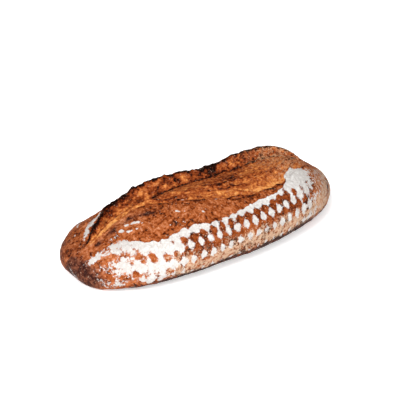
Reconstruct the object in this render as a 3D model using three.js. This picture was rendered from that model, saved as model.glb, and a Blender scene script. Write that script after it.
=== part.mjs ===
// A long oval country loaf, baked free-standing: one solid of bread.
//
// The loaf lies along X with its flat underside on z = 0. It is a loft of closed sections. Each
// section is an oval with a flat base, and its rows follow the lines that the baker's cut left in
// the crust: the near lip, the valley where the dough tore open, and the rim and back of the ear.
// Dimensions are in millimetres, -Y is the side that faces the viewer, and the origin is under the
// middle of the loaf's bounding box.

import * as THREE from 'three';

// Overall size
const LENGTH = 320;
const WIDTH = 135;
const BOW = 13.7; // how far the middle of the loaf bends towards -Y

// Ends: the -X end is blunt in plan and low, and the +X end is finer and full.
// The underside is flat until flatUntil from the middle, and curls up from there to the tips.
const LEFT_END = { tipHeight: 22, planPower: 3.8, crownPower: 2.6, flatUntil: 138 };
const RIGHT_END = { tipHeight: 17, planPower: 2.8, crownPower: 3.9, flatUntil: 116 };

// Section: an oval that is widest below its middle, with its lowest part cut flat
const WIDEST_HEIGHT = 0.44; // of the section's height
const FLATTENING = 1.16; // depth of the lower half before it is cut flat
const OVAL_POWER = 2.2;
const BASE_EDGE = -Math.asin(FLATTENING ** (-OVAL_POWER / 2)); // angle where the flat underside ends

// Height of the crown above the table, at places along X
const CROWN = [
  [-144, 56], [-108, 59], [-72, 64.5], [-36, 69.5], [0, 68.5], [36, 67], [72, 70], [108, 71.5], [144, 59],
];

// Lines of the cut, as fractions of the half width: -1 is the near side and 1 the far side
const NEAR_LIP = [
  [-160, -0.28], [-141, -0.16], [-120, 0], [-100, 0.06], [-84, 0.05], [-70, -0.02], [-57, -0.2], [-40, -0.33],
  [-20, -0.45], [0, -0.55], [27, -0.6], [53, -0.62], [70, -0.6], [95, -0.54], [113, -0.46], [160, -0.4],
];
const VALLEY = [
  [-160, -0.2], [-141, -0.12], [-128, 0.06], [-114, 0.2], [-100, 0.27], [-80, 0.29], [-62, 0.24], [-40, 0.24],
  [-10, 0.2], [20, 0.22], [60, 0.16], [90, 0.03], [108, -0.17], [122, -0.34], [160, -0.3],
];
const EAR_RIM = [
  [-160, -0.1], [-142, -0.07], [-130, 0.18], [-112, 0.34], [-90, 0.42], [-60, 0.46], [-30, 0.45], [0, 0.4],
  [30, 0.38], [60, 0.36], [85, 0.28], [102, 0.1], [114, -0.13], [124, -0.27], [160, -0.2],
];

// How far the cut's surfaces stand above or below the oval
const LIP_RISE = [[-142, 0], [-120, 1.6], [0, 1.2], [90, 0.8], [118, 0]];
const LIP_FOOT_DROP = [[-142, 0], [-125, 1.2], [-60, 1.2], [10, 2.6], [60, 2.8], [95, 1.2], [118, 0]];
const BLOOM_RISE = [[-142, 0], [-100, -1], [-60, 0.4], [-20, 1.6], [40, 2], [90, 1.6], [120, 0]];
const VALLEY_DROP = [[-142, 0], [-126, 3.5], [-105, 5.5], [-70, 5.5], [-30, 4], [20, 2], [70, 0.5], [110, 0]];
const EAR_RISE = [
  [-142, 0], [-126, 2], [-109, 10], [-90, 8.8], [-60, 9], [-42, 7.2], [-28, 6], [-10, 5.6], [12, 4.2],
  [30, 6], [46, 8.4], [63, 7.6], [85, 7.2], [108, 4.6], [122, 0],
];
const FAR_CRUST_DROP = [[-128, 0], [-104, 4], [-60, 5], [0, 5], [60, 4], [100, 2], [122, 0]];

// Angles round the section, from -90 degrees under the loaf, through the near side at 0, to 270
const NEAR_SHOULDER = THREE.MathUtils.degToRad(24);
const FAR_SHOULDER = THREE.MathUtils.degToRad(146);

// Fineness of the faceted surface
const COLUMNS = 74;
const ROWS = {
  underside: 2, lowerFlank: 5, flank: 3, crust: 5, lip: 1, bloom: 3, wall: 3, earBack: 2, farCrust: 4,
};
const LIP_WIDTH = 0.16; // of the way from the lip to the valley
const EAR_THICKNESS = 0.22; // of the way from the rim to the far shoulder
const EAR_BACK_RISE = 0.3; // how much of the rim's rise is left at the back of the ear

const CRUST = new THREE.MeshStandardMaterial({ color: 0x9a5a2e, roughness: 0.82, metalness: 0 });

// Smooth curve through [place, value] pairs, level at both ends
function along(place, pairs) {
  const last = pairs.length - 1;
  const x = Math.min(Math.max(place, pairs[0][0]), pairs[last][0]);
  let k = 0;
  while (k < last - 1 && x > pairs[k + 1][0]) k += 1;
  const slope = (i) => (pairs[i + 1][1] - pairs[i][1]) / (pairs[i + 1][0] - pairs[i][0]);
  const step = (i) => pairs[i + 1][0] - pairs[i][0];
  const tangent = (i) => (i === 0 || i === last
    ? 0
    : (slope(i - 1) * step(i) + slope(i) * step(i - 1)) / (step(i - 1) + step(i)));
  const h = step(k);
  const t = (x - pairs[k][0]) / h;
  const a = pairs[k][1];
  const b = pairs[k + 1][1];
  const rise = t * t * (3 - 2 * t);
  return a + (b - a) * rise + t * (1 - t) * h * (tangent(k) * (1 - t) - tangent(k + 1) * t);
}

// A signed power, for the oval's rounded sides
function power(value, exponent) {
  return Math.sign(value) * Math.abs(value) ** exponent;
}

// One section's oval, at a place u from -1 (the -X tip) to 1 (the +X tip)
function oval(u) {
  const end = u < 0 ? LEFT_END : RIGHT_END;
  const reach = Math.abs(u);
  const taper = (exponent) => Math.sqrt(Math.max(1 - reach ** exponent, 0));
  const x = (u * LENGTH) / 2;
  const halfWidth = (WIDTH / 2) * taper(end.planPower);
  const top = end.tipHeight + (along(x, CROWN) - end.tipHeight) * taper(end.crownPower);
  const curl = Math.max(Math.abs(x) - end.flatUntil, 0) / (LENGTH / 2 - end.flatUntil);
  const bottom = end.tipHeight * (1 - Math.sqrt(1 - curl * curl));
  const widest = bottom + WIDEST_HEIGHT * (top - bottom);
  return { x, halfWidth, top, bottom, widest, centre: -BOW * (1 - u * u) };
}

// The angle at which the oval reaches a fraction of its half width, on its upper half
function angleAt(fraction) {
  return Math.acos(power(-fraction, OVAL_POWER / 2));
}

// The lines round one section: each has its angle and how far it stands off the oval
function featureLines(x) {
  const lip = angleAt(along(x, NEAR_LIP));
  const valley = angleAt(along(x, VALLEY));
  const rim = angleAt(along(x, EAR_RIM));
  const lipFoot = lip + (valley - lip) * LIP_WIDTH;
  const bloomCrest = (lipFoot + valley) / 2;
  const earBack = rim + (FAR_SHOULDER - rim) * EAR_THICKNESS;
  const earBackOffset = along(x, EAR_RISE) * EAR_BACK_RISE - along(x, FAR_CRUST_DROP) * EAR_THICKNESS;
  return [
    { angle: -Math.PI / 2, offset: 0, rows: ROWS.underside },
    { angle: BASE_EDGE, offset: 0, rows: ROWS.lowerFlank },
    { angle: 0, offset: 0, rows: ROWS.flank },
    { angle: NEAR_SHOULDER, offset: 0, rows: ROWS.crust },
    { angle: lip, offset: along(x, LIP_RISE), rows: ROWS.lip },
    { angle: lipFoot, offset: -along(x, LIP_FOOT_DROP), rows: ROWS.bloom },
    { angle: bloomCrest, offset: along(x, BLOOM_RISE), rows: ROWS.bloom },
    { angle: valley, offset: -along(x, VALLEY_DROP), rows: ROWS.wall },
    { angle: rim, offset: along(x, EAR_RISE), rows: ROWS.earBack },
    { angle: earBack, offset: earBackOffset, rows: ROWS.farCrust },
    { angle: FAR_SHOULDER, offset: -along(x, FAR_CRUST_DROP), rows: ROWS.flank },
    { angle: Math.PI, offset: 0, rows: ROWS.lowerFlank },
    { angle: Math.PI - BASE_EDGE, offset: 0, rows: ROWS.underside },
    { angle: (3 * Math.PI) / 2, offset: 0, rows: 0 },
  ];
}

// The closed ring of points of one section
function section(u) {
  const shape = oval(u);
  const lines = featureLines(shape.x);
  const points = [];
  for (let k = 0; k < lines.length - 1; k += 1) {
    const from = lines[k];
    const to = lines[k + 1];
    for (let i = 0; i < from.rows; i += 1) {
      const share = i / from.rows;
      const ease = share * share * (3 - 2 * share);
      const angle = from.angle + (to.angle - from.angle) * share;
      const across = -power(Math.cos(angle), 2 / OVAL_POWER);
      const up = power(Math.sin(angle), 2 / OVAL_POWER);
      const reach = up >= 0 ? shape.top - shape.widest : (shape.widest - shape.bottom) * FLATTENING;
      const height = Math.max(shape.widest + reach * up, shape.bottom);
      const offset = from.offset + (to.offset - from.offset) * ease;
      points.push([shape.x, shape.centre + shape.halfWidth * across, height + offset]);
    }
  }
  return points;
}

// Closed loft through the sections, with one point at each tip
function loaf() {
  const rings = [];
  for (let column = 1; column < COLUMNS; column += 1) {
    rings.push(section(-Math.cos((Math.PI * column) / COLUMNS)));
  }
  const around = rings[0].length;
  const positions = rings.flat(2);
  const index = [];
  for (let ring = 0; ring < rings.length - 1; ring += 1) {
    for (let i = 0; i < around; i += 1) {
      const next = (i + 1) % around;
      const a = ring * around + i;
      const b = ring * around + next;
      index.push(a, a + around, b + around, a, b + around, b);
    }
  }
  const leftTip = rings.length * around;
  const rightTip = leftTip + 1;
  positions.push(-LENGTH / 2, 0, LEFT_END.tipHeight, LENGTH / 2, 0, RIGHT_END.tipHeight);
  const lastRing = (rings.length - 1) * around;
  for (let i = 0; i < around; i += 1) {
    const next = (i + 1) % around;
    index.push(leftTip, i, next);
    index.push(rightTip, lastRing + next, lastRing + i);
  }
  const geometry = new THREE.BufferGeometry();
  geometry.setAttribute('position', new THREE.Float32BufferAttribute(positions, 3));
  geometry.setIndex(index);
  geometry.computeVertexNormals();
  geometry.computeBoundingBox();
  const middle = geometry.boundingBox.getCenter(new THREE.Vector3());
  geometry.translate(-middle.x, -middle.y, 0);
  return geometry;
}

const bread = new THREE.Group();
const body = new THREE.Mesh(loaf(), CRUST);
body.name = 'loaf';
bread.add(body);

export default bread;
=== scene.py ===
# %% [markdown]
# # A long oval country loaf
# This lesson bakes a loaf in Blender: a long oval country bread that was proofed in a woven
# basket, cut once along its top and left to burst in the oven. What makes it look real is not
# one clever material but a few separate things that a baker would name: the ear that rose and
# burnt, the torn valley below it, the near lip, the brown crust and the flour print.
# We start from the packed solid, which fixes the size and the place of everything.

import math

import bpy
import numpy as np
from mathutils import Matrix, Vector


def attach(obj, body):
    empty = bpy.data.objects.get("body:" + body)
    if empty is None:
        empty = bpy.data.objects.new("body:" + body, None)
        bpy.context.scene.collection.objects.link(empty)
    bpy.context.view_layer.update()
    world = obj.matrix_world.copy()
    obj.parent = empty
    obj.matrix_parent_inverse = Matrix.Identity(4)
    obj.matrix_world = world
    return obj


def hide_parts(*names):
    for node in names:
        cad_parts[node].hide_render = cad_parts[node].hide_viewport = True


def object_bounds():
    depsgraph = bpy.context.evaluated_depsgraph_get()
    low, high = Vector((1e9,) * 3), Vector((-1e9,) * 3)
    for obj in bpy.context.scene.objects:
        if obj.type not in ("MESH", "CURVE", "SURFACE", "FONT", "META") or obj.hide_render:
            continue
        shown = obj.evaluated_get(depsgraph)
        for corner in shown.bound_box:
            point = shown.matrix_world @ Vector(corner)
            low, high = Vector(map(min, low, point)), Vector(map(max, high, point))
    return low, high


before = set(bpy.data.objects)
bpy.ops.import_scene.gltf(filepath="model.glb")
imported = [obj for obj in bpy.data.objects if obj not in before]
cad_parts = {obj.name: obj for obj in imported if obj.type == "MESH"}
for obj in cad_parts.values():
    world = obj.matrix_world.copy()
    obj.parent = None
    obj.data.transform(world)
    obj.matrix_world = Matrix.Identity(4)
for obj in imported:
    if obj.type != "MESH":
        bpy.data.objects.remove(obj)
frame_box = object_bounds()
MM = 0.001
print("the frame's loaf measures", [round(s / MM) for s in frame_box[1] - frame_box[0]], "mm")

# %% [markdown]
# ## The camera first
# The photograph was taken from well above the table with a long lens, with the loaf's low blunt
# end near and to the left. A camera can be placed by hand, but it is easier to reason about as
# a distance and two angles from a point that it looks at, so that is how it is written.

# %% Place the camera
VIEW_AZIMUTH = math.radians(-36)
VIEW_ELEVATION = math.radians(28.4)
VIEW_DISTANCE = 1.30
AIM_POINT = Vector((0.0099, 0.0279, 0.0316))
LENS_MM = 112.5
SENSOR_MM = 36


def look_from(azimuth, elevation):
    """The direction from the loaf to a place at these angles."""
    level = math.cos(elevation)
    return Vector((math.sin(azimuth) * level, -math.cos(azimuth) * level, math.sin(elevation)))


camera = bpy.data.objects.new("camera", bpy.data.cameras.new("camera"))
camera.data.lens = LENS_MM
camera.data.sensor_width = SENSOR_MM
to_camera = look_from(VIEW_AZIMUTH, VIEW_ELEVATION)
camera.location = AIM_POINT + to_camera * VIEW_DISTANCE
camera.rotation_euler = to_camera.to_track_quat("Z", "Y").to_euler()
bpy.context.scene.collection.objects.link(camera)
bpy.context.scene.camera = camera
print("camera at", [round(c, 3) for c in camera.location])

# %% [markdown]
# ## The loaf's sizes
# A loaf could be sculpted, but a loft is easier to steer: closed sections stand along the
# length, and every number below is a size that could be measured on the real bread. They are
# the same sizes as the packed solid's, so that the fine loaf fills the same space.

# %% The driving sizes
LENGTH = 320 * MM
WIDTH = 135 * MM
BOW = 13.7 * MM  # how far the middle of the loaf bends towards the viewer

# Each end has the height of its tip, and how far from the middle the underside stays flat. The
# powers say how square it is from above and from the side, where 2 would be an ellipse.
LEFT_END = {"tip": 22 * MM, "plan": 3.8, "crown": 2.6, "flat_until": 138 * MM}
RIGHT_END = {"tip": 17 * MM, "plan": 2.8, "crown": 3.9, "flat_until": 116 * MM}

# The section: its widest line as a share of its height, how much deeper its lower half is
# before it is cut flat, and its power
WIDEST_HEIGHT = 0.44
FLATTENING = 1.16
OVAL_POWER = 2.2


def along(x, *pairs, rounded=True):
    """A smooth curve through (place, value) pairs in millimetres, level at both ends.

    A curve that isn't rounded is level at every pair, so it never swings past a value.
    """
    places, values = np.array(pairs, float).T
    step, slope = np.diff(places), np.diff(values) / np.diff(places)
    tangent = np.zeros_like(values)
    tangent[1:-1] = rounded * (slope[:-1] * step[1:] + slope[1:] * step[:-1]) / (step[:-1] + step[1:])
    x = np.clip(np.asarray(x) / MM, places[0], places[-1])
    k = np.clip(np.searchsorted(places, x, side="right") - 1, 0, len(step) - 1)
    t = (x - places[k]) / step[k]
    ease = t * t * (3 - 2 * t)
    lean = t * (1 - t) * step[k] * (tangent[k] * (1 - t) - tangent[k + 1] * t)
    return values[k] + (values[k + 1] - values[k]) * ease + lean


def crown(x):
    """Height of the loaf's back above the table."""
    return MM * along(x, (-144, 56), (-108, 59), (-72, 64.5), (-36, 69.5), (0, 68.5), (36, 67),
                      (72, 70), (108, 71.5), (144, 59))


print("the crown is", round(float(crown(0.0) / MM), 1), "mm high in the middle")

# %% [markdown]
# ## The lines of the cut
# The baker made one cut along the top. In the oven it opened: the far side lifted into an ear
# with a thin burnt rim, the dough tore below it and left a golden valley, and the near side
# kept a lip of crust. Each line is given as its place across the loaf, where -1 is the near
# side and 1 the far side. The rows of the mesh follow these lines, so that a rim only 2 mm
# thick is modelled without a million faces.

# %% Where each line runs
def near_lip(x):
    return along(x, (-160, -.28), (-141, -.2), (-120, -.06), (-100, 0), (-84, 0), (-70, -.06),
                 (-57, -.21), (-40, -.33), (-20, -.45), (0, -.55), (27, -.6), (53, -.62), (70, -.6),
                 (95, -.54), (113, -.46), (160, -.4))


def valley(x):
    return along(x, (-160, -.2), (-141, -.12), (-128, .06), (-114, .2), (-100, .27), (-80, .29),
                 (-62, .24), (-40, .24), (-10, .2), (20, .22), (60, .16), (90, .03), (108, -.17),
                 (122, -.34), (160, -.3))


def ear_rim(x):
    return along(x, (-160, -.1), (-142, -.07), (-130, .18), (-112, .34), (-90, .42), (-60, .46),
                 (-30, .45), (0, .4), (30, .38), (60, .36), (85, .28), (102, .1), (114, -.13),
                 (124, -.27), (160, -.2))


def cut_strength(x):
    """1 where the cut is open, falling to 0 past its two ends."""
    return along(x, (-145, 0), (-138, .7), (-128, 1), (98, 1), (114, .5), (124, 0), rounded=False)


print("in the middle the lip lies at", float(near_lip(0.0)), "and the rim at", float(ear_rim(0.0)))

# %% [markdown]
# ## Heights along the cut
# How far each line stands above or below the plain oval. The ear is highest near the +X end
# and sags a little in the middle, which gives the loaf its skyline with two humps. Behind the
# ear the far crust hangs lower than the oval, because the ear pulled dough away from it.

# %% How far each line rises or sinks
def lip_rise(x):
    return MM * along(x, (-142, 0), (-120, 1.6), (0, 1.2), (90, .8), (118, 0))


def lip_foot_drop(x):
    return MM * along(x, (-142, 0), (-125, 1.2), (-60, 1.2), (10, 2.6), (60, 2.8), (95, 1.2), (118, 0))


def bloom_rise(x):
    return MM * along(x, (-142, 0), (-100, -1), (-60, .4), (-20, 1.6), (40, 2), (90, 1.6), (120, 0))


def valley_drop(x):
    return MM * along(x, (-142, 0), (-126, 3.5), (-105, 5.5), (-70, 5.5), (-30, 4), (20, 2), (70, .5),
                      (110, 0))


def ear_rise(x):
    return MM * along(x, (-142, 0), (-126, 2), (-109, 10), (-90, 8.8), (-60, 9), (-42, 7.2), (-28, 6),
                      (-10, 5.6), (12, 4.2), (30, 6), (46, 8.4), (63, 7.6), (85, 7.2), (108, 4.6),
                      (122, 0))


def far_crust_drop(x):
    return MM * along(x, (-128, 0), (-104, 4), (-60, 5), (0, 5), (60, 4), (100, 2), (122, 0))


print("the ear stands", round(float(ear_rise(0.0) / MM), 1), "mm above the oval in the middle")

# %% [markdown]
# ## Unevenness from noise
# Bread is uneven at every size. Blender has noise textures, but a displaced mesh needs numbers
# while it is being made, so this cell writes the classic gradient noise in a few lines: every
# corner of a lattice has a fixed random direction, and the value between the corners is
# blended. Each layer reads another part of the lattice.

# %% Gradient noise
LATTICE = np.random.default_rng(11)
SHUFFLE = np.tile(LATTICE.permutation(256), 3)
DIRECTIONS = LATTICE.normal(size=(256, 3))
DIRECTIONS /= np.linalg.norm(DIRECTIONS, axis=1)[:, None]
NOISE_GAIN = 1.6
NOISE_LAYER = 17.3
START = 100


def triples(*values):
    """Every way of taking three of the values, in order."""
    return np.stack(np.meshgrid(values, values, values, indexing="ij"), -1).reshape(-1, 3)


def pick(cell):
    """A fixed random number from 0 to 255 for every lattice cell."""
    x, y, z = np.moveaxis(cell & 255, -1, 0)
    return SHUFFLE[SHUFFLE[SHUFFLE[x] + y] + z]


def noise(points, size, layer=0):
    """Gradient noise of about -1 to 1, with lumps of the given size in metres."""
    place = points / size + NOISE_LAYER * layer + START
    cell = np.floor(place).astype(int)
    inside = place - cell
    blend = inside ** 3 * (inside * (inside * 6 - 15) + 10)
    total = np.zeros(points.shape[:-1])
    for corner in triples(0, 1):
        share = np.where(corner, blend, 1 - blend).prod(-1)
        total += share * (DIRECTIONS[pick(cell + corner)] * (inside - corner)).sum(-1)
    return total * NOISE_GAIN


print("noise over a metre:", np.round(noise(np.linspace((0, 0, 0), (1, 1, 1), 5), 0.05), 2))

# %% [markdown]
# ## Pores, steps and bumps
# Crumb and blisters are round, so they need another noise, which measures the distance to
# scattered points. Three small helpers follow it: a sum of noises of several sizes, an S-shaped
# step and a soft bump.

# %% Round pores and soft shapes
SPOTS = LATTICE.random((256, 3))
PORE_REACH = 0.6
PORE_LAYER = 31.7


def pores(points, size, layer=0):
    """1 at the middle of scattered round pores, falling to 0 between them."""
    place = points / size + PORE_LAYER * layer + START
    cell = np.floor(place).astype(int)
    nearest = np.full(points.shape[:-1], 9.0)
    for step in triples(-1, 0, 1):
        spot = cell + step + SPOTS[pick(cell + step)]
        nearest = np.minimum(nearest, np.linalg.norm(place - spot, axis=-1))
    return np.clip(1 - nearest / PORE_REACH, 0, 1)


def layered(points, *layers):
    """A sum of noises, each with its strength, the size of its lumps in millimetres, and its layer."""
    return sum(strength * noise(points, size * MM, layer) for strength, size, layer in layers)


def smooth(value, low, high):
    """0 below low, 1 above high, and an S curve between them."""
    t = np.clip((value - low) / (high - low), 0, 1)
    return t * t * (3 - 2 * t)


def bump(distance, width):
    """1 where the distance is 0, falling to almost 0 at twice the width."""
    return np.exp(-(distance / width) ** 2)


print("a step at 0, a half and 1:", smooth(np.array([0, 0.5, 1]), 0, 1))

# %% [markdown]
# ## Rows and columns
# Columns are spaced evenly along the side of the loaf, so that the blunt ends get as many as
# they need. Rows are shared out between the lines of the cut, closer together where the
# surface is torn. A row's place is a number such as 7.5: half way from line 7, the valley, to
# line 8, the rim.

# %% Lay out the grid
COLUMNS = 346
FINE_STEPS = 4001
(BASE_MIDDLE, BASE_EDGE, SIDE, SHOULDER, LIP, FOOT, CREST, VALLEY, RIM, EAR_BACK, BACK, FAR_SIDE,
 FAR_EDGE) = range(13)
ROWS_AFTER = {BASE_MIDDLE: 8, BASE_EDGE: 26, SIDE: 20, SHOULDER: 46, LIP: 6, FOOT: 26, CREST: 26,
              VALLEY: 38, RIM: 14, EAR_BACK: 30, BACK: 14, FAR_SIDE: 22, FAR_EDGE: 8}
row_place = np.concatenate([line + np.arange(count) / count for line, count in ROWS_AFTER.items()])


def row_of(line):
    """The number of the row that follows a line."""
    return int(np.argmin(np.abs(row_place - line)))


def plan(u):
    """Half the loaf's width at u, from -1 at the low blunt end to 1 at the full end."""
    power = np.where(u < 0, LEFT_END["plan"], RIGHT_END["plan"])
    return WIDTH / 2 * np.sqrt(np.maximum(1 - np.abs(u) ** power, 0))


fine_u = -np.cos(np.linspace(0, math.pi, FINE_STEPS))
edge = np.stack([fine_u * LENGTH / 2, plan(fine_u)], -1)
edge_length = np.concatenate([[0], np.cumsum(np.linalg.norm(np.diff(edge, axis=0), axis=1))])
column_u = np.interp(np.linspace(0, edge_length[-1], COLUMNS + 1)[1:-1], edge_length, fine_u)
print(len(column_u), "columns and", len(row_place), "rows:", 2 * len(column_u) * len(row_place), "triangles")

# %% [markdown]
# ## One oval for each column
# The section is an oval that is widest below its middle and cut flat underneath, as dough
# settles on the oven floor. This cell works out its sizes for every column at once.

# %% The ovals
def end_size(key):
    """A size of the end that each column belongs to."""
    return np.where(column_u < 0, LEFT_END[key], RIGHT_END[key])


column_x = column_u * LENGTH / 2
half_width = plan(column_u)
centre = -BOW * (1 - column_u ** 2)
tip = end_size("tip")
top = tip + (crown(column_x) - tip) * np.sqrt(1 - np.abs(column_u) ** end_size("crown"))
flat_until = end_size("flat_until")
curl = np.maximum(np.abs(column_x) - flat_until, 0) / (LENGTH / 2 - flat_until)
bottom = tip * (1 - np.sqrt(1 - curl ** 2))
widest = bottom + WIDEST_HEIGHT * (top - bottom)
own_middle = ((centre - half_width).min() + (centre + half_width).max()) / 2
y_shift = (frame_box[0].y + frame_box[1].y) / 2 - own_middle
print("the loaf is moved", round(y_shift / MM, 1), "mm in Y to sit in its frame")

# %% [markdown]
# ## The lines on the oval
# Every line has an angle round the oval and a height above it. The angle comes from the line's
# place across the loaf. The lines wander a little, because a blade drags on wet dough.

# %% The angle and height of each line
WANDER = 0.03
RIM_WANDER = 0.6 * WANDER
LIP_WIDTH = 0.12  # of the way from the lip to the valley
EAR_THICKNESS = 0.22  # of the way from the rim to the far shoulder
EAR_BACK_RISE = 0.3  # of the rim's rise
SHOULDER_ANGLE = math.radians(24)
BACK_ANGLE = math.radians(146)
EDGE_ANGLE = -math.asin(FLATTENING ** (-OVAL_POWER / 2))
BESIDE = 0.0137  # metres beside the lattice's own planes, where gradient noise is 0


def signed_power(value, exponent):
    return np.sign(value) * np.abs(value) ** exponent


def line_noise(size, layer):
    """Noise that varies only along the loaf, one number a column."""
    return noise(np.stack([column_x, 0 * column_x, 0 * column_x], -1) + BESIDE, size, layer)


def angle_at(fraction):
    """The angle at which the oval reaches a fraction of its half width."""
    return np.arccos(signed_power(-fraction, OVAL_POWER / 2))


open_here = cut_strength(column_x)
lip_wander = line_noise(16 * MM, 1) + 0.5 * line_noise(6 * MM, 4)
lip_angle = angle_at(near_lip(column_x) + WANDER * open_here * lip_wander)
valley_angle = angle_at(valley(column_x) + WANDER * open_here * line_noise(22 * MM, 2))
rim_angle = angle_at(ear_rim(column_x) + RIM_WANDER * open_here * line_noise(12 * MM, 3))
foot_angle = lip_angle + (valley_angle - lip_angle) * LIP_WIDTH
ear_back_angle = rim_angle + (BACK_ANGLE - rim_angle) * EAR_THICKNESS
ear_back_offset = ear_rise(column_x) * EAR_BACK_RISE - far_crust_drop(column_x) * EAR_THICKNESS
print("in the middle the rim is at", round(math.degrees(rim_angle[COLUMNS // 2])), "degrees")

# %% [markdown]
# ## All the lines in order
# Now each line of the grid, from the middle of the underside up the near side, over the top and
# down the far side, is a pair of its angle and its height above the oval.

# %% The list of lines
level = np.zeros_like(column_x)
LINES = [
    (level - math.pi / 2, level),
    (level + EDGE_ANGLE, level),
    (level, level),
    (level + SHOULDER_ANGLE, level),
    (lip_angle, lip_rise(column_x)),
    (foot_angle, -lip_foot_drop(column_x)),
    ((foot_angle + valley_angle) / 2, bloom_rise(column_x)),
    (valley_angle, -valley_drop(column_x)),
    (rim_angle, ear_rise(column_x)),
    (ear_back_angle, ear_back_offset),
    (level + BACK_ANGLE, -far_crust_drop(column_x)),
    (level + math.pi, level),
    (level + math.pi - EDGE_ANGLE, level),
    (level + 1.5 * math.pi, level),
]
line_angle, line_offset = (np.stack(part, -1) for part in zip(*LINES))
print(len(LINES), "lines, the last of which closes the ring")

# %% [markdown]
# ## Rows onto the oval
# A row between two lines has its angle and its height blended from theirs. The oval's own
# height is never less than the flat underside's.

# %% The smooth loaf
line = row_place.astype(int)
share = row_place - line
ease = share ** 2 * (3 - 2 * share)
angle = line_angle[:, line] * (1 - share) + line_angle[:, line + 1] * share
cut_offset = line_offset[:, line] * (1 - ease) + line_offset[:, line + 1] * ease
across = -signed_power(np.cos(angle), 2 / OVAL_POWER)
up = signed_power(np.sin(angle), 2 / OVAL_POWER)
reach = np.where(up >= 0, (top - widest)[:, None], ((widest - bottom) * FLATTENING)[:, None])
oval_height = np.maximum(widest[:, None] + reach * up, bottom[:, None])
surface = np.stack([np.broadcast_to(column_x[:, None], angle.shape),
                    centre[:, None] + half_width[:, None] * across + y_shift,
                    oval_height + cut_offset], -1)
print("smooth form:", np.round(np.ptp(surface.reshape(-1, 3), axis=0) / MM, 1), "mm")

# %% [markdown]
# ## Measures along the skin
# Patterns on the crust, such as the basket's print, have a real size measured along the skin
# and not along an axis. So each point gets lengths: how far it is along the loaf's side, how
# far up the skin from the edge of the flat underside, and how far it is from the lip and from
# the rim. From here on these lengths are in millimetres.

# %% Lengths along and around
def arc_length(points, axis):
    step = np.linalg.norm(np.diff(points, axis=axis), axis=-1)
    pad = [(0, 0), (0, 0)]
    pad[axis] = (1, 0)
    return np.pad(np.cumsum(step, axis=axis), pad) / MM


side_length = arc_length(surface, 0)[:, row_of(SIDE)]
skin_along = np.broadcast_to((side_length - np.interp(0, column_x, side_length))[:, None], angle.shape)
round_skin = arc_length(surface, 1)
near_up = round_skin - round_skin[:, [row_of(BASE_EDGE)]]
far_up = round_skin[:, [row_of(FAR_EDGE)]] - round_skin
from_lip = round_skin - round_skin[:, [row_of(LIP)]]
from_rim = round_skin - round_skin[:, [row_of(RIM)]]
x_mm = np.broadcast_to(column_x[:, None] / MM, angle.shape)
place = np.broadcast_to(row_place, angle.shape)
is_near = place < RIM
skin_up = np.where(is_near, near_up, far_up)
print("the skin is", round(float(skin_along.max() - skin_along.min())), "mm along and",
      round(float(round_skin.max())), "mm around")

# %% [markdown]
# ## Which row is what
# Masks say where the surface is crust, bloom or ear wall. They are soft, so that one texture
# fades into the next over a row or two. The bloom is the dough that spread between the lip and
# the valley.

# %% Masks for the parts of the crust
def tell(title, mask):
    print(title, round(float(mask.mean() * 100)), "% of the points")


opened = np.broadcast_to(open_here[:, None], angle.shape)
in_bloom = opened * smooth(from_lip, 0.2, 1.8) * (1 - smooth(place, VALLEY - 0.1, VALLEY + 0.15))
in_wall = opened * smooth(place, VALLEY - 0.25, VALLEY + 0.05) * (1 - smooth(from_rim, -0.3, 0.9))
on_rim = opened * bump(from_rim, 2.4)
on_lip = opened * bump(from_lip - 0.3, 0.8)
skin = 1 - np.clip(in_bloom + in_wall, 0, 1)
above_base = smooth(skin_up, 0, 9) * smooth(place, BASE_EDGE, BASE_EDGE + 0.2)
above_base = above_base * (1 - smooth(place, FAR_EDGE - 0.2, FAR_EDGE))
tell("torn surface:", skin < 0.5)

# %% [markdown]
# ## Relief of the plain crust
# The skin is lumpy at the size of a thumb, and has blisters of 2 to 5 mm. It could be left to
# a bump texture, but lumps show in the outline and in the shading of the flour, so they are
# real here. Every relief is a height in millimetres.

# %% Lumps and blisters
lumps = layered(surface, (1.0, 46, 0), (.55, 19, 1), (.35, 9, 30))
blisters = 0.34 * pores(surface, 4.6 * MM, 6) + layered(surface, (.24, 5, 2), (.16, 2.6, 3))
crust_relief = lumps + blisters
print("the crust is uneven by", round(float(np.ptp(crust_relief)), 1), "mm")

# %% [markdown]
# ## Relief of the torn dough
# Where the dough tore, it stretched along the loaf: long fibres, and a few ledges where one
# skin after another split, each with a thin edge that burnt. The fibres are noise squeezed
# across the loaf, and the ledges a saw-tooth along the skin that noise bends and breaks up.

# %% Fibres and ledges
FIBRE_SQUEEZE = 6
LEDGE_PITCH, LEDGE_HEIGHT, LEDGE_SLANT = 7.5, 1.2, 0.035
TORN_DEPTH = 0.4
bend = 2.6 * noise(surface * (1, 1.5, 1.5), 30 * MM, 5) + 1.1 * noise(surface * (1, 2, 2), 11 * MM, 6)
grain = MM * np.stack([skin_along, (from_lip + bend) * FIBRE_SQUEEZE, 0 * skin_along], -1)
fibres = layered(grain, (.6, 24, 8), (.45, 11, 9), (.3, 5.5, 14))
ledge_phase = (from_lip + 2 * bend + LEDGE_SLANT * x_mm) / LEDGE_PITCH % 1
ledge_edge = smooth(ledge_phase, 0.35, 0.9) * (1 - smooth(ledge_phase, 0.92, 1.0))
ledges = ledge_edge * smooth(noise(grain * (1, 0.35, 1), 42 * MM, 7), -0.1, 0.35)
rough = layered(surface, (.5, 6, 10), (.4, 3, 15)) - 0.5 * pores(surface, 4.4 * MM, 17)
torn_relief = 0.9 * fibres + rough + LEDGE_HEIGHT * ledges - TORN_DEPTH
print("ledges stand on", round(float((ledges > 0.3).mean() * 100)), "% of the torn pattern")

# %% [markdown]
# ## Relief of the ear's wall
# The wall under the rim is open crumb that dried hard: pores of 2 to 4 mm with lumps between
# them. The pores are bent by noise, so that none of them is a plain round hole.

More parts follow.
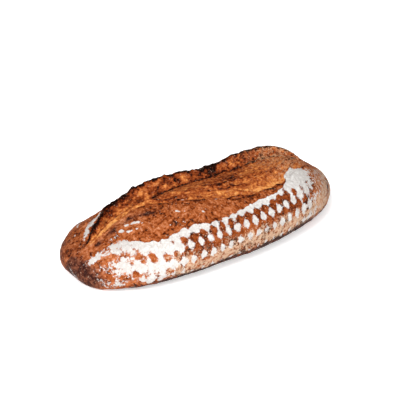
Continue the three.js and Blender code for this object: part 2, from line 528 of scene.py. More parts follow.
# %% Pores and lumps
WALL_LUMP_HEIGHT, WALL_PORE_DEPTH = 1.35, 2.0
twist = np.stack([noise(surface, 7 * MM, layer) for layer in (40, 41, 42)], -1) * 2.2 * MM
wall_pores = np.maximum(pores(surface + twist, 5.2 * MM, 1), 0.9 * pores(surface - twist, 3.4 * MM, 2))
wall_pores = smooth(wall_pores, 0.3, 0.8) * smooth(noise(surface, 15 * MM, 43), -0.5, 0.1)
wall_lumps = layered(surface, (.7, 10, 12), (.9, 5, 13), (.6, 2.8, 16))
wall_relief = WALL_LUMP_HEIGHT * wall_lumps - WALL_PORE_DEPTH * wall_pores
print("pores cover", round(float((wall_pores > 0.5).mean() * 100)), "% of a wall")

# %% [markdown]
# ## The ragged rim
# The rim is thin and burnt, with small black knobs where dough bubbles dried. Its height and
# its lean change every few millimetres, less so at the full end, where the ear runs out. A few
# knobs stand where the skyline shows them, each given by its place along the loaf, its height
# and its half width in millimetres.

# %% Rim, lip and knobs
KNOBS = [(-71, 3.0, 2.8), (-96, 1.0, 3.0), (-46, 0.8, 3.5), (-19, 1.2, 4.0), (18, 1.6, 7.0),
         (47, 0.9, 3.5), (79, 1.2, 5.0)]
rim_ragged = 0.8 * line_noise(14 * MM, 21) + 0.9 * line_noise(6 * MM, 20) + 0.7 * line_noise(3.6 * MM, 24)
rim_ragged = rim_ragged + 0.6
for knob_x, knob_height, knob_width in KNOBS:
    rim_ragged = rim_ragged + knob_height * np.exp(-((column_x / MM - knob_x) / knob_width) ** 4)
rim_calm = 1 - 0.75 * smooth(column_x / MM, 80, 102)
rim_ragged = rim_ragged * rim_calm
rim_lean = (1.8 + 1.2 * line_noise(18 * MM, 22) + 0.8 * line_noise(5 * MM, 25)) * rim_calm
lip_ragged = 0.5 * line_noise(7 * MM, 23) + 0.3
print("the rim's highest knob stands", round(float(rim_ragged.max()), 1), "mm above the ear")

# %% [markdown]
# ## The basket's weave
# The loaf was proofed in a floured basket of woven cane, which left a chequerboard of upright
# diamonds. A sum of two cosines, one along the skin and one up it, is positive on one colour
# of such a board. The weave is worked out here, before the mesh is made, because it is pressed
# into the dough as well as painted on it: the floured diamonds lie a little lower.

# %% Lengths of the weave
WEAVE_PITCH, WEAVE_ROW = 10.93, 14.4
WEAVE_START, WEAVE_HEIGHT, WEAVE_CLIMB = 1.3, 64.4, 0.038
weave_along = skin_along - WEAVE_START + layered(surface, (.8, 34, 50), (.6, 9, 51))
weave_up = skin_up - WEAVE_HEIGHT - WEAVE_CLIMB * x_mm + layered(surface, (.9, 30, 52), (.7, 8, 53))
weave = np.cos(weave_along * 2 * math.pi / WEAVE_PITCH) + np.cos(weave_up * 2 * math.pi / WEAVE_ROW)
print("the weave has", round(float(np.ptp(skin_along) / WEAVE_PITCH)), "diamonds along the loaf")

# %% [markdown]
# ## Places on the skin
# The marks on the loaf need two helpers: a curve along the loaf, and a soft oval spot. Three
# noises, from a thumb's width down to a crumb's, keep every edge from being a clean line.

# %% Curves, spots and uneven edges
def by_column(*pairs, rounded=True):
    """A curve along the loaf, as one number a column that fits the whole grid."""
    return along(column_x, *pairs, rounded=rounded)[:, None]


def patch(at_x, at_height, length, width, lean=0.0, height=from_lip):
    """A spot on the crust, given by its middle and its half lengths in millimetres."""
    along_it, across_it = x_mm - at_x, height - at_height
    return np.exp(-(along_it / length) ** 2 - ((across_it - lean * along_it) / width) ** 2)


uneven = noise(surface, 16 * MM, 54)
blotch = noise(surface, 7 * MM, 55)
crumbled = noise(surface, 3.6 * MM, 56)
print("a spot of 10 by 10 mm holds", int((patch(0, 0, 10, 10) > 0.5).sum()), "points")

# %% [markdown]
# ## How high the flour reaches
# The basket dusted the flanks up to a line that climbs from both ends towards the full
# shoulder. The line is a height on the skin, crisp along the middle and crumbly at the ends.

# %% The flour's top edge
near_top = by_column((-160, 10), (-155, 26), (-148, 46), (-140, 61), (-130, 71), (-113, 80.5), (-105, 75),
                     (-82, 73.5), (-60, 79.5), (-28, 76.5), (-2, 79), (28, 82.5), (62, 84), (70, 88),
                     (78, 97), (96, 94), (108, 83), (124, 74), (140, 62), (160, 40))
far_top = by_column((-160, 20), (-130, 50), (-60, 64), (0, 60), (60, 68), (120, 60), (160, 40))
edge_softness = by_column((-160, 4), (-122, 4.5), (-100, 2.2), (60, 1.5), (84, 3), (160, 5), rounded=False)
below_top = np.where(is_near, near_top, far_top) - skin_up
inside = smooth(below_top + 1.4 * blotch + 1.1 * crumbled, -edge_softness, edge_softness)
tell("the flour's line takes in", inside)

# %% [markdown]
# ## Where the flour is thick
# Three parts are covered: a band under the top edge, a smear over the low end, and a patch on
# the full end's shoulder.

# %% Band, smear and shoulder
band_depth = by_column((-160, 7), (-112, 11), (-66, 11), (-46, 7.5), (18, 7.5), (36, 7), (48, 2), (60, 1),
                       (72, 8), (90, 16), rounded=False)
top_band = 1.3 * (1 - smooth(below_top + 2.5 * blotch, 0.6 * band_depth, 1.4 * band_depth))
top_band = top_band * (1 - 0.8 * smooth(x_mm + 5 * uneven, 92, 106)) * (1 - 0.45 * smooth(-x_mm, 104, 116))
smear = by_column((-160, .6), (-140, .8), (-124, 1.3), (-98, 1.0), (-80, .3), (-62, -.25), (60, -.25),
                  rounded=False)
smear = smear * (1 + 0.5 * uneven)
shoulder_patch = 0.15 * smooth(skin_up, 36, 50) + 1.5 * smooth(skin_up + 3 * blotch, 68, 78)
shoulder_patch = shoulder_patch * smooth(x_mm, 58, 72) * (1 - smooth(x_mm + 6 * uneven + 3 * blotch, 92, 104))
below_shoulder = smooth(x_mm + 4 * uneven, 68, 84) * (1 - smooth(x_mm, 98, 112)) * smooth(skin_up, 26, 40)
print("the band is", round(float(band_depth.min())), "to", round(float(band_depth.max())), "mm deep")

# %% [markdown]
# ## Where the crust is bare
# Low down the flour was rubbed off. On the low end a bare stripe climbs from the tip towards
# the cut, with a few bare spots beside and below it. A spot has its strength, its place along
# the loaf, its height on the skin and its half lengths. A strength below 0 brings flour back.

# %% Rubbed and bare places
BARE_SPOTS = [(1.9, (-112, 58.5, 4.5, 3.6)), (1.7, (-101.3, 58, 3.8, 3.4)), (1.4, (-118, 39, 3.5, 3.5)),
              (1.5, (-129, 34, 4, 3.2)), (1.2, (-141, 31, 4, 3.2)), (-0.9, (-136, 25, 4, 2.2)),
              (-0.8, (-154, 22, 5, 4))]
low_edge = by_column((-160, 40), (-156, 24), (-150, 25), (-147, 18), (-141, 14), (-134, 16), (-126, 26),
                     (-107, 27), (-84, 31), (-64, 34), (-40, 40), (60, 40), (84, 30),
                     (110, 18), (160, 8))
rubbed = 2.8 * (1 - smooth(skin_up - low_edge + 2 * uneven + 2 * blotch, -5, 6))
stripe = by_column((-158, 16), (-152, 29), (-142, 46), (-130, 57), (-120, 60), (-112, 59))
bare = 1.5 * bump(skin_up - stripe, 3.2) * (1 - smooth(x_mm, -122, -112)) * is_near
bare = bare + sum(strength * patch(*spot, height=skin_up) for strength, spot in BARE_SPOTS)
tell("rubbed or bare:", rubbed + bare > 1)

# %% [markdown]
# ## Where the flour breaks up
# Thin flour is not a grey veil but many specks. So one more number says how speckled it is: near
# the table, where the top edge frays at the low end, and in the swirls of the low tip.

# %% Speckled flour
speckled = by_column((-160, 1), (-132, .9), (-112, .55), (-92, .35), (-66, .5), (-20, .55), (20, .35),
                     (40, .25), (64, .25), (86, .5), (100, .95), rounded=False)
near_table = 1 - smooth(skin_up - low_edge, 2, 16)
frayed = (1 - smooth(below_top, 6, 20)) * smooth(-x_mm, 102, 116) * (1 - 0.75 * smooth(-x_mm, 132, 144))
swirled = smooth(-x_mm, 112, 124) * (1 - smooth(skin_up + 4 * uneven, 28, 42))
for broken in (near_table, frayed, swirled):
    speckled = np.maximum(speckled, broken)
mottled_end = smooth(x_mm + 6 * uneven, 90, 106)
tell("mostly specks:", speckled > 0.7)

# %% [markdown]
# ## Adding the flour up
# The flour is a number over the whole skin: about 1 where it is solid, 0 where the weave alone
# decides, and far below 0 on bare crust. The weave's own strength fades towards both ends.

# %% The flour's layout
BARE = -1.7
flour = top_band + smear + shoulder_patch - rubbed - bare + 0.15 * mottled_end
flour = flour - 0.5 * speckled - 0.9 * frayed - 0.5 * swirled + 0.55 * below_shoulder
flour = flour * inside + BARE * (1 - inside)
weave_strength = by_column((-142, 0), (-122, .3), (-108, .42), (-84, .65), (-64, 1), (64, 1), (92, .45),
                           (108, .15), rounded=False)
weave_strength = weave_strength * inside
tell("solid flour:", flour > 0.6)

# %% [markdown]
# ## Flour on top of the crust
# Some flour lies above the band: clumps beside the lip, a streak and two spots behind the rim at
# the low end, and strewn specks. A clump has its place along the loaf, its distance from the lip
# and its half lengths.

# %% Clumps, streak and specks
CLUMPS = [(-95, -16.3, 5, 2.4), (-103, -12, 2.6, 2.2), (-110.5, -14.6, 2.6, 2.6), (-106.5, -20, 1.6, 1.5),
          (-98, -24, 3.2, 1.7), (-103.5, -21.5, 1.8, 1.4), (-91, -22, 1.6, 1.2), (-116, -16, 2.2, 2.4),
          (-57.3, -13.7, 2.4, 1.7), (-52, -15, 1.5, 1.2), (-39.5, -17.3, 2.2, 1.5), (-36, -18, 1.3, 1.1),
          (-65, -31.2, 1.6, 1.3), (-71.6, -34.5, 1.8, 1.5), (-59, -30, 1.2, 1.1), (-12, 6.2, 2, 1.4),
          (-42, 7, 3, 1)]
CLUMP_LEAN = -0.5
clumps = sum(patch(*spot, lean=CLUMP_LEAN) for spot in CLUMPS) * (1.0 + 0.9 * crumbled)
clumps = clumps + patch(-157.8, 2.5, 2.0, 3.0, height=skin_up) * is_near
streak = opened * smooth(-x_mm, 106, 114) * bump(from_rim - 5.8 - 1.5 * uneven, 5.0 + 2.0 * crumbled)
streak = streak + patch(-128, 25, 4.5, 3, height=from_rim) + patch(-139.8, 20.8, 1.6, 1.5, height=from_rim)
on_top = np.maximum(clumps, streak * (1 - is_near))
flour = np.maximum(flour, 3.4 * on_top - 2.0)
speckled = np.maximum(speckled, 0.5 * smooth(on_top, 0.05, 0.4))
strewn = patch(-119, -14, 9, 5) * is_near
flour = np.maximum(flour, 1.5 * strewn + BARE)
speckled = np.maximum(speckled, strewn)
covered = flour + 0.5 * weave * weave_strength > 0
tell("flour covers about", covered)

# %% [markdown]
# ## Dust on the crust
# Between the diamonds and below them the crust is veiled with fine dust. It stops where the
# flank turns under, and at a dark spot on the full end's edge. The torn dough near the full
# end has some of it too.

# %% The haze
turn_under = by_column((-160, 0), (-155, 0), (-140, 8), (-125, 14), (-100, 19), (-60, 22), (100, 23),
                       (130, 18), (160, 2))
above_turn = smooth(skin_up + 1.5 * blotch, turn_under + 6.5, turn_under + 13)
dark_end_edge = patch(137, 37.5, 9, 5, height=skin_up) * is_near
haze = (1 - smooth(skin_up, 42, 62)) * by_column((-128, 0), (-104, .4), (-80, .75), (100, 1), rounded=False)
haze = np.clip(haze + 0.4 * mottled_end + 0.35 * uneven * (haze > 0.05), 0, 1)
haze = haze * inside * skin * above_turn * (1 - dark_end_edge)
haze = haze + 0.46 * (in_bloom + in_wall) * smooth(x_mm + 10 * uneven, 44, 96)
tell("haze lies on", haze > 0.3)

# %% [markdown]
# ## Put the relief on
# The relief pushes each point along the surface's own normal, so walls get rough sideways and
# the crown upwards. The underside stays flat, and the top stays inside the frame's box.

# %% Displace
WEAVE_DEPTH = 0.28


def normals(points):
    """Outward normals of the grid, from its differences along and around."""
    around = np.roll(points, -1, axis=1) - np.roll(points, 1, axis=1)
    normal = np.cross(around, np.gradient(points, axis=0))
    return -normal / np.maximum(np.linalg.norm(normal, axis=-1, keepdims=True), 1e-12)


pressed = WEAVE_DEPTH * smooth(weave, -0.3, 0.3) * weave_strength * inside * smooth(skin_up, 20, 34)
relief = (crust_relief - pressed) * skin + torn_relief * in_bloom + wall_relief * in_wall
relief = relief + lip_ragged[:, None] * on_lip
shape = surface + normals(surface) * (MM * relief * above_base)[..., None]
shape[..., 2] += MM * rim_ragged[:, None] * on_rim
shape[..., 1] -= MM * rim_lean[:, None] * on_rim
shape[..., 2] = np.clip(shape[..., 2], 0, frame_box[1].z)
print("fine form:", np.round(np.ptp(shape.reshape(-1, 3), axis=0) / MM, 1), "mm")

# %% [markdown]
# ## Build the mesh
# One closed skin: quads between the rings, and a fan of triangles at each tip.

# %% The loaf's mesh
TIP_ROUNDING = 0.6 * MM
rings, rows = angle.shape
left_tip = shape[0].mean(0) - (TIP_ROUNDING, 0, 0)
right_tip = shape[-1].mean(0) + (TIP_ROUNDING, 0, 0)
vertices = np.vstack([shape.reshape(-1, 3), left_tip, right_tip])
ring, row = np.meshgrid(np.arange(rings - 1), np.arange(rows), indexing="ij")
here, above = ring * rows + row, ring * rows + (row + 1) % rows
quads = np.stack([here, here + rows, above + rows, above], -1).reshape(-1, 4)
index = np.arange(rows)
following = (index + 1) % rows
last_ring = (rings - 1) * rows
left_fan = np.stack([0 * index + rings * rows, index, following], -1)
right_fan = np.stack([0 * index + rings * rows + 1, last_ring + following, last_ring + index], -1)
mesh = bpy.data.meshes.new("loaf_crust")
mesh.from_pydata(vertices.tolist(), [], quads.tolist() + left_fan.tolist() + right_fan.tolist())
mesh.polygons.foreach_set("use_smooth", np.ones(len(mesh.polygons), bool))
loaf = bpy.data.objects.new("loaf_crust", mesh)
bpy.context.scene.collection.objects.link(loaf)
print(len(mesh.vertices), "points,", len(quads) * 2 + 2 * rows, "triangles")

# %% [markdown]
# ## A flat map of the skin
# Whoever bakes this material to an image needs every point of the skin to have its own place
# on it. An automatic unwrap would cut a bumpy loaf into hundreds of islands. The grid already
# is a map: along the loaf one way and around it the other, cut open under the base.

# %% Unroll the skin
MARGIN = 0.01
map_along = MARGIN + (1 - 2 * MARGIN) * (skin_along[:, 0] - skin_along[0, 0]) / np.ptp(skin_along)
around_share = np.append(round_skin, round_skin[:, -1:] + round_skin[:, 1:2], axis=1)
around_share = MARGIN + (1 - 2 * MARGIN) * around_share / around_share[:, -1:]
corner_u = np.stack([map_along[ring], map_along[ring + 1], map_along[ring + 1], map_along[ring]], -1)
corner_v = np.stack([around_share[ring, row], around_share[ring + 1, row],
                     around_share[ring + 1, row + 1], around_share[ring, row + 1]], -1)
fan_left = [[(MARGIN / 2, around_share[0, [i, i + 1]].mean()), (map_along[0], around_share[0, i]),
             (map_along[0], around_share[0, i + 1])] for i in index]
fan_right = [[(1 - MARGIN / 2, around_share[-1, [i, i + 1]].mean()), (map_along[-1], around_share[-1, i + 1]),
              (map_along[-1], around_share[-1, i])] for i in index]
corners = np.stack([corner_u, corner_v], -1)
flat_map = np.concatenate([corners.reshape(-1), np.ravel(fan_left), np.ravel(fan_right)])
mesh.uv_layers.new(name="OFBake").data.foreach_set("uv", flat_map)
print("the map has", len(flat_map) // 2, "corners")

# %% [markdown]
# ## How well done each spot is, with painted shade on the wall
# A baker reads a crust by its colour: pale gold where the dough opened last, then brown, then
# black on thin edges. So the mesh carries one number, how well done each spot is, from 0 for
# pale to 1 for burnt; on the ear's wall the same number also carries painted shade. First come
# the places that stayed gold: the valley, a second stretch below the lip, all of the bloom at
# the low end, the cut's first millimetres, and flecks on the wall.

# %% Where the dough stayed gold
gold_place = by_column((-150, 6.4), (-136, 5.9), (-115, 6), (-95, 5.8), (-74, 6), (-58, 7), (70, 7.06))
gold_width = by_column((-150, 1.3), (-84, 1.3), (-60, .4), (20, .3), (70, .26))
gold_valley = bump(place - gold_place, gold_width)
gold_valley = gold_valley * by_column((-150, 1), (-84, 1), (-60, .8), (-20, .6), (30, .4), (70, .15))
gold_second = bump(from_lip - by_column((-30, 16), (0, 14.5), (31, 11.5), (55, 7), (70, 4)), 3.8)
gold_second = gold_second * by_column((-16, 0), (6, 1.2), (60, 1.35), (78, .5), (94, 0), rounded=False)
gold_left = smooth(from_lip + 1.5 * blotch, -4.0, -1.0)
gold_left = gold_left * (1 - smooth(place + 0.14 * blotch + 0.1 * crumbled, VALLEY + 0.2, VALLEY + 0.42))
gold_left = gold_left * by_column((-150, 1), (-92, 1), (-74, .6), (-56, 0), rounded=False)
gold_start = bump(x_mm + 142, 9) * bump(from_lip + 1, 6)
gold_flecks = smooth(noise(surface, 11 * MM, 60), 0.12, 0.5) * in_wall
gold = np.maximum(np.maximum(gold_valley, gold_second), gold_left) * (0.85 + 0.5 * crumbled)
gold = np.clip(opened * (gold + 0.65 * gold_flecks) + gold_start, 0, 1)
tell("gold:", gold > 0.5)

# %% [markdown]
# ## What burnt
# Thin and raised edges bake faster. The lip is charred in places, four spots on the skin beside
# the low end of the cut are burnt, a fold in the torn dough and a flake on the ear's wall are
# dark, and so is the rim.

# %% Burnt edges and spots
BURNT_SPOTS = [(-132.7, -5.7, 4, 3), (-117, -6.2, 6, 3.4), (-97, -8, 7, 2.8), (-81.6, -11.3, 7, 3)]
burnt_spots = sum(patch(*spot) for spot in BURNT_SPOTS)
charred_lip = bump(from_lip + 0.6, 1.6) * smooth(line_noise(13 * MM, 61), -0.5, 0.1)[:, None] * opened
dark_fold = bump(from_lip - by_column((-20, 36), (8, 34.7), (37, 30), (65, 24), (90, 20)), 3.2)
dark_fold = dark_fold * by_column((-20, 0), (0, .8), (70, 1), (88, 0), rounded=False)
dark_fold = dark_fold * smooth(fibres, -0.6, 0.3)
dark_flake = bump(x_mm - 19, 12) * bump(from_rim + 4, 5)
burnt_rim = opened * bump(from_rim + 0.4, 2.2) * (0.85 + 0.4 * noise(surface, 5 * MM, 67))
print("burnt:", int((charred_lip + burnt_spots + burnt_rim > 0.5).sum()), "points")

# %% [markdown]
# ## Skin, bloom and wall
# Each part has its own rule. The skin is brown in patches, dark on the low end and under the
# turn of the flank. On the bloom the fibres and ledges are darker than the dough between them.
# On the wall the pores and crevices are painted darker as shade, and all of it darkens towards
# the rim, partly as burnt crust and partly as painted shade under the ear. At the low end the
# upper wall is painted darker still, as shade in the deep crease under the ear.

# %% How well done each part is, with painted shade on the wall
low_left = smooth(-skin_along, 146, 170) * smooth(46 - skin_up, 0, 20) * is_near
left_end = smooth(-skin_along, 140, 180)
done_skin = 0.60 + layered(surface, (.10, 26, 63), (.12, 13, 65), (.12, 7, 64))
done_skin = done_skin + 0.09 * left_end + 0.19 * low_left
# Darker below the turn of the flank, and on a spot at the full end's edge.
done_skin = done_skin + 0.27 * (1 - above_turn) * smooth(x_mm, -140, -110) + 0.4 * dark_end_edge
done_skin = done_skin + 0.15 * inside * (1 - smooth(-x_mm, 70, 110)) * (1 - mottled_end) - 0.08 * mottled_end
done_bloom = 0.50 + 0.18 * fibres + 0.10 * noise(surface, 13 * MM, 66) + 0.38 * ledges
done_bloom = done_bloom - 0.07 * smooth(x_mm, 10, 70)
# Painted shade on the wall: the pores and the crevices, which are only dark patches of noise, are made
# darker, and so is the upper wall at the low end. Near the rim the darkening is partly burnt crust and partly
# painted shade under the ear.
crevice_shade = smooth(noise(surface, 6 * MM, 70), 0.05, 0.45)
wall_done_and_shade = 0.60 - 0.09 * wall_lumps + 0.27 * wall_pores + 0.14 * crevice_shade
wall_done_and_shade = wall_done_and_shade + 0.14 * smooth(place, RIM - 0.45, RIM - 0.05)
wall_done_and_shade = wall_done_and_shade + 0.32 * smooth(-x_mm, 70, 100) * smooth(place, VALLEY + 0.25, VALLEY + 0.6)
done = done_skin * skin + done_bloom * in_bloom + wall_done_and_shade * in_wall
done = done - 0.34 * gold + 0.34 * charred_lip + 0.42 * burnt_spots + 0.26 * dark_fold
done = done + 0.42 * dark_flake + 0.42 * burnt_rim
print("well done on average:", round(float(done.mean()), 2))

# %% [markdown]
# ## Hand the numbers to the material
# A material can read a named number from every point of the mesh. The two points at the tips
# stand outside the grid, so they are given their own values.

# %% Attributes of the mesh
def attribute(name, values, left=0.0, right=0.0):
    """One number a point: the grid's values, then the left tip's and the right tip's."""
    layer = mesh.attributes.new(name, "FLOAT", "POINT")
    layer.data.foreach_set("value", np.append(np.asarray(values, float).ravel(), (left, right)))


attribute("done", done, 0.65, 0.5)
attribute("purple", np.clip(low_left + 0.4 * left_end + burnt_spots, 0, 1), 0.8, 0)
attribute("torn", np.clip(in_bloom + in_wall, 0, 1))
attribute("fibre_along", skin_along)
attribute("fibre_across", from_lip + bend)
attribute("weave_along", weave_along, weave_along.min(), weave_along.max())
attribute("weave_up", weave_up)
attribute("weave_strength", weave_strength)
attribute("flour", flour, -3, -0.4)
attribute("speckled", speckled, 1, 1)
attribute("haze", haze, 0, 0.5)
print([a.name for a in mesh.attributes if a.data_type == "FLOAT"])

# %% [markdown]
# ## Writing shader maths as Python
# A material is a tree of nodes, which is hard to read when it is built one link at a time. A
# small class wraps one socket and gives it Python's operators, so that `1 - mask` or
# `a * 2 + b` adds the Math nodes by itself.

# %% A field
class Field:
    """One output socket of a material, with Python's arithmetic."""

    def __init__(self, finish, socket):
        self.finish, self.socket = finish, socket

    def math(self, operation, *values):
        return self.finish.node("ShaderNodeMath", {"operation": operation}, dict(enumerate(values)))

    def __add__(self, other):
        return self.math("ADD", self, other)

    def __radd__(self, other):
        return self.math("ADD", other, self)

    def __sub__(self, other):
        return self.math("SUBTRACT", self, other)

    def __rsub__(self, other):
        return self.math("SUBTRACT", other, self)

    def __mul__(self, other):
        return self.math("MULTIPLY", self, other)

    def __rmul__(self, other):
        return self.math("MULTIPLY", other, self)

    def cosine(self):
        return self.math("COSINE", self)

    def size(self):
        """The value without its sign."""
        return self.math("ABSOLUTE", self)

    def step(self, low, high):
        """0 below low, 1 above high, and an S curve between them."""
        return self.finish.node("ShaderNodeMapRange", {"interpolation_type": "SMOOTHSTEP"},
                                {0: self, 1: low, 2: high})


print("besides its operators a field has", [name for name in vars(Field) if not name.startswith("_")])

# %% [markdown]
# ## A material and its nodes
# Every other node comes from one method, node(), which takes the node's type, its settings and
# what goes into its sockets. The methods below it name the nodes that a loaf needs.

# %% A finish
class Finish:
    """One material and the nodes in it."""

    def __init__(self, name):
        self.material = bpy.data.materials.new(name)
        self.material.use_nodes = True
        self.tree = self.material.node_tree
        self.shader = self.tree.nodes["Principled BSDF"]

    def node(self, kind, settings, sockets, output=0):
        made = self.tree.nodes.new(kind)
        for name, value in settings.items():
            if name == "stops":
                self.set_stops(made.color_ramp.elements, value)
            else:
                setattr(made, name, value)
        self.feed(made, sockets)
        return Field(self, made.outputs[output])

    def set_stops(self, elements, stops):
        for place, colour in stops[len(elements):]:
            elements.new(place)
        for element, (place, colour) in zip(elements, stops):
            element.position, element.color = place, colour

    def feed(self, made, sockets):
        for name, value in sockets.items():
            if isinstance(value, Field):
                self.tree.links.new(value.socket, made.inputs[name])
            else:
                made.inputs[name].default_value = value

    def attribute(self, name):
        return self.node("ShaderNodeAttribute", {"attribute_name": name}, {}, "Fac")

    def position(self):
        return self.node("ShaderNodeTexCoord", {}, {}, "Object")

    def grain(self, vector, size, detail=2.0, roughness=0.5):
        """Smooth noise around 0, from about -1 to 1, with lumps of the given size in metres."""
        sockets = {"Vector": vector, "Scale": 1 / size, "Detail": detail, "Roughness": roughness}
        return self.node("ShaderNodeTexNoise", {}, sockets) * 4 - 2

    def cells(self, vector, size):
        """Distance to the nearest of scattered points, from 0 to about 1."""
        return self.node("ShaderNodeTexVoronoi", {}, {"Vector": vector, "Scale": 1 / size}, "Distance")

    def tint(self, mask, under, over):
        """The colour under, covered by the colour over where the mask is 1."""
        return self.node("ShaderNodeMix", {"data_type": "RGBA"}, {0: mask, 6: under, 7: over}, 2)

    def shades(self, value, *stops):
        """A colour looked up by a number, from (place, colour) stops."""
        return self.node("ShaderNodeValToRGB", {"stops": stops}, {"Fac": value})

    def vector(self, x, y, z):
        return self.node("ShaderNodeCombineXYZ", {}, {0: x, 1: y, 2: z})


crust = Finish("baked crust")
print("an empty finish has", len(crust.tree.nodes), "nodes")

# %% [markdown]
# ## Naming a colour
# It is easier to say how a colour should look in the picture than to guess the surface's own.
# The lamps make white shine about one and a half times as bright as the picture's white, so a
# colour is turned into light and divided by that.

# %% Paint
LIGHT_ON_TOP = 1.48


def paint(red, green, blue):
    """A colour as the eye sees it under the lamps, from 0 to 255, turned into the surface's own."""
    shown = np.array((red, green, blue)) / 255
    light = np.where(shown <= 0.04045, shown / 12.92, ((shown + 0.055) / 1.055) ** 2.4)
    return (*(light / LIGHT_ON_TOP).tolist(), 1.0)


print("for a picture's brown the surface is", [round(part, 3) for part in paint(174, 95, 50)])

# %% [markdown]
# ## Small changes in the baking
# The number of the mesh is too smooth, so noise of 1 to 5 mm is added to it, in fibres where
# the dough tore. The mottling is weaker in the weave, where the basket pressed the dough flat,
# and on the purplish skin of the low end.

# %% How well done, down to the millimetre
spot = crust.position()
coarse = crust.grain(spot, 5.2 * MM, 3, 0.6)
fine = crust.grain(spot, 2.5 * MM, 2, 0.6)
blister = crust.cells(spot, 4.0 * MM)
torn = crust.attribute("torn")
weave_here = crust.attribute("weave_strength")
purple_here = crust.attribute("purple")
fibre_across = crust.attribute("fibre_across") * (FIBRE_SQUEEZE * MM)
fibre = crust.grain(crust.vector(crust.attribute("fibre_along") * MM, fibre_across, 0.0), 9 * MM, 4, 0.65)
mottle = coarse * 0.30 + fine * 0.32 + (blister - 0.45) * 0.28
mottle = mottle * (1 - weave_here * 0.45) * (1 - purple_here * 0.4)
well_done_and_shade = crust.attribute("done") + mottle * (1 - torn * 0.22) + torn * fibre * 0.2
print("the baking takes", len(crust.tree.nodes), "nodes")

# %% [markdown]
# ## The baked colours
# Rows of colours turn the number into a crust: a dusty one for the skin, which always keeps a
# trace of flour, a purplish one for the low end and the burnt spots, and a clearer, more golden
# one for the torn crumb.

# %% Skin and crumb colours
SKIN_SHADES = [(0.0, paint(228, 166, 126)), (0.26, paint(203, 125, 84)), (0.50, paint(174, 95, 50)),
               (0.72, paint(144, 66, 24)), (0.88, paint(92, 38, 12)), (1.0, paint(44, 14, 6))]
PURPLE_SHADES = [(0.3, paint(150, 106, 88)), (0.95, paint(62, 30, 24))]
CRUMB_SHADES = [(0.0, paint(246, 172, 100)), (0.22, paint(224, 138, 70)), (0.42, paint(186, 102, 50)),
                (0.60, paint(156, 74, 32)), (0.78, paint(110, 43, 14)), (0.92, paint(54, 16, 6)),
                (1.0, paint(28, 8, 3))]
colour = crust.shades(well_done_and_shade, *SKIN_SHADES)
colour = crust.tint(purple_here * 0.65, colour, crust.shades(well_done_and_shade, *PURPLE_SHADES))
colour = crust.tint(torn, colour, crust.shades(well_done_and_shade, *CRUMB_SHADES))
print("shades of skin, purple and crumb:", len(SKIN_SHADES), len(PURPLE_SHADES), len(CRUMB_SHADES))

# %% [markdown]
# ## Haze and specks
# Before the flour come two thin layers. The haze is torn up by noise, so that it looks like
# dust and not like a pale glaze. Loose specks are scattered over the whole skin, and more of
# them lie in the weave.

# %% Dust under the flour
HAZE, CRUMB_HAZE, SPECK = paint(217, 181, 150), paint(208, 150, 108), paint(232, 198, 170)
dust = crust.grain(spot, 1.2 * MM, 2, 0.6)
ragged = crust.grain(spot, 3.0 * MM, 3, 0.65)
vein = 0.5 - crust.grain(spot, 6.5 * MM, 3, 0.6).size() * 2.2
haze_here = crust.attribute("haze")
torn_up = (ragged * 0.9 + vein * 0.6 + dust * 0.5) * haze_here.step(0, 0.3)
haze_cover = (haze_here + torn_up).step(0.0, 1.2) * 0.9
colour = crust.tint(haze_cover, colour, crust.tint(torn, HAZE, CRUMB_HAZE))
specks = (coarse * 0.3 + dust * 0.8 - fine * 0.3).step(0.42, 0.85) * (1 - torn * 0.1)
colour = crust.tint(specks * (0.5 + weave_here * 0.45), colour, SPECK)
print("with its dust the crust has", len(crust.tree.nodes), "nodes")

# %% [markdown]
# ## Flour over the crust
# The flour's number from the mesh, the weave and a ragged noise are added, and one threshold
# turns the sum into cover. The noise is stronger where the flour is speckled. Where the flour
# lies thin it is a little greyer.

# %% Flour colours and cover
FLOUR, FLOUR_SHADE = paint(239, 237, 233), paint(206, 199, 194)
wave = (crust.attribute("weave_along") * (2 * math.pi / WEAVE_PITCH)).cosine()
wave = wave + (crust.attribute("weave_up") * (2 * math.pi / WEAVE_ROW)).cosine()
speckled_here = crust.attribute("speckled")
loose = crust.attribute("flour") + wave * weave_here * 1.05 + ragged * (0.45 + speckled_here * 0.4)
loose = loose + fine * speckled_here * 0.4 + vein * speckled_here * 0.9 + dust * 0.2
cover = loose.step(-0.3, 0.6)
thick = dust * 0.5 + ragged * 0.5 + fine * 0.3 + coarse * 0.3 - speckled_here * 0.6
colour = crust.tint(cover, colour, crust.tint(thick.step(-0.8, 0.65), FLOUR_SHADE, FLOUR))
print("with its flour the crust has", len(crust.tree.nodes), "nodes")

# %% [markdown]
# ## Surface finish
# Baked crust has a dull gloss and flour has none. A Bump node adds what is finer than the mesh,
# at its true height.

# %% Finish the crust
CRUST_SPECULAR = 0.04
roughness = 0.72 + cover * 0.22 - well_done_and_shade * 0.08
fine_height = dust * 0.05 + fine * 0.16 + coarse * 0.12 - blister * 0.35 + torn * fibre * 0.2 + cover * 0.12
relief_of_grain = {"Strength": 1.0, "Distance": 1.0, "Height": fine_height * MM}
surface_bump = crust.node("ShaderNodeBump", {}, relief_of_grain)
crust.feed(crust.shader, {"Base Color": colour, "Roughness": roughness, "Normal": surface_bump,
                          "Specular IOR Level": CRUST_SPECULAR})
loaf.data.materials.append(crust.material)
print("the finished crust has", len(crust.tree.nodes), "nodes")

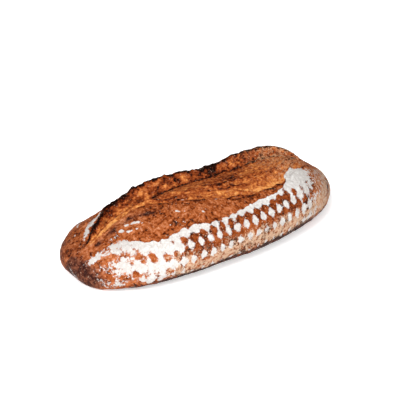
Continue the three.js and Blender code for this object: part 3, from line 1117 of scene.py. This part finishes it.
# %% [markdown]
# ## The floor
# The loaf stands on a white sheet, as for a catalogue picture. Lit paper alone would turn out
# grey away from the lamps, so it also glows a little. The glow keeps it white all over and
# leaves only the shadow beside the loaf.

# %% Floor
FLOOR_SIZE = 40.0
PAPER_GLOW = 0.38
paper = Finish("white paper")
paper.feed(paper.shader, {"Base Color": (0.95, 0.95, 0.95, 1.0), "Roughness": 0.9, "Specular IOR Level": 0.1,
                          "Emission Color": (1.0, 1.0, 1.0, 1.0), "Emission Strength": PAPER_GLOW})
bpy.ops.mesh.primitive_plane_add(size=FLOOR_SIZE, location=(0, 0, 0))
floor = bpy.context.object
floor.name = "floor"
floor.data.materials.append(paper.material)
print("the floor is", FLOOR_SIZE, "m wide")

# %% [markdown]
# ## Lamps and sky
# The key lamp stands on the left, a little in front, and gives the loaf its form and its
# shadow to the right. A wider one near the camera fills the flank that faces it, and a weak
# one behind keeps the far side from going black. Each has its two angles in degrees, its
# distance and width in metres, and its power in watts. A plain white sky lights the rest.

# %% Light the loaf
SKY_STRENGTH = 0.30
LAMPS = {"key": (-55, 45, 1.6, 0.7, 27), "front": (-20, 30, 1.8, 1.3, 19), "back": (170, 68, 1.8, 1.2, 3)}
for name, (azimuth, elevation, distance, size, power) in LAMPS.items():
    lamp = bpy.data.objects.new(name, bpy.data.lights.new(name, "AREA"))
    lamp.data.shape, lamp.data.size, lamp.data.energy = "DISK", size, power
    direction = look_from(math.radians(azimuth), math.radians(elevation))
    lamp.location = direction * distance
    lamp.rotation_euler = direction.to_track_quat("Z", "Y").to_euler()
    bpy.context.scene.collection.objects.link(lamp)
world = bpy.data.worlds.new("studio")
world.use_nodes = True
world.node_tree.nodes["Background"].inputs["Color"].default_value = (1, 1, 1, 1)
world.node_tree.nodes["Background"].inputs["Strength"].default_value = SKY_STRENGTH
bpy.context.scene.world = world
bpy.context.scene.view_settings.view_transform = "Standard"
print("lamps:", ", ".join(LAMPS))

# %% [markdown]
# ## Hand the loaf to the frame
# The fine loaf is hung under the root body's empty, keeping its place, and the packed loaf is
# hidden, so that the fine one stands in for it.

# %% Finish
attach(loaf, "root")
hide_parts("loaf")
